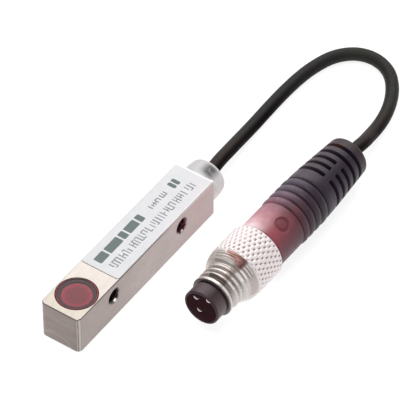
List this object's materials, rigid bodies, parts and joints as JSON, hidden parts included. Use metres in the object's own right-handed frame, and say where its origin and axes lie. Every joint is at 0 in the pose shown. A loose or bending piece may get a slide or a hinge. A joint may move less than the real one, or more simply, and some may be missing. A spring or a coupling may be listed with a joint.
{
  "type": "through-beam photoelectric sensor",
  "caption": "Slim rectangular through-beam light sensor with a round red lens, cross holes in its side, and a short cable ending in a round connector with a knurled coupling screw.",
  "frame": {"origin": "centre of the base face of the sensor block with its cable boot, without the cable and connector, at the height of the face it rests on", "axes": "+Z is the optical axis out of the lens, +Y runs along the block from the lens end to the cable end, +X points to the side where the connector lies"},
  "size_m": [0.0273, 0.089, 0.0107],
  "materials": {
    "nickel_body": "satin, fine brushed",
    "nickel_screw": "bright nickel, knurled",
    "red_window": "clear red filter",
    "ring_black": "matt",
    "clear_lens": "polished",
    "light_tube": "matt",
    "boot_frosted": "frosted",
    "label_foil": "satin foil",
    "cable_jacket": "satin",
    "grip_moulded": "satin, fine texture",
    "carrier_black": "satin",
    "sleeve_plastic": "plain",
    "pin_metal": "plated",
    "board_green": "solder mask",
    "chip_black": "matt",
    "ceramic_tan": "matt",
    "led_amber": "clear",
    "diode_dark": "clear dark",
    "core_brown": "plain",
    "core_blue": "plain",
    "core_black": "plain",
    "clamp_steel": "tinned"
  },
  "bodies": {
    "sensor": {"housing": "nickel_body", "lens_window": "red_window", "aperture_ring": "ring_black", "condenser_lens": "clear_lens", "lens_holder": "light_tube", "photodiode": "diode_dark", "circuit_board": "board_green", "amplifier_chip": "chip_black", "regulator_chip": "chip_black", "output_transistor": "chip_black", "protection_diodes": "chip_black", "chip_resistors": "chip_black", "chip_capacitors": "ceramic_tan", "status_led": "led_amber", "wire_brown": "core_brown", "wire_blue": "core_blue", "wire_black": "core_black", "cable_clamp": "clamp_steel", "cable_boot": "boot_frosted", "label": "label_foil", "cable": "cable_jacket", "connector_grip": "grip_moulded", "inner_body": "sleeve_plastic", "contact_carrier": "carrier_black", "contact_pins": "pin_metal", "plug_wire_brown": "core_brown", "plug_wire_blue": "core_blue", "plug_wire_black": "core_black"},
    "coupling": {"coupling_screw": "nickel_screw"}
  },
  "joints": [
    {"name": "coupling_spin", "type": "hinge", "parent": "sensor", "child": "coupling", "pos_m": [0.01784, 0.00398, 0.00535], "axis": [0.0166, 0.9999, 0], "continuous": true}
  ]
}
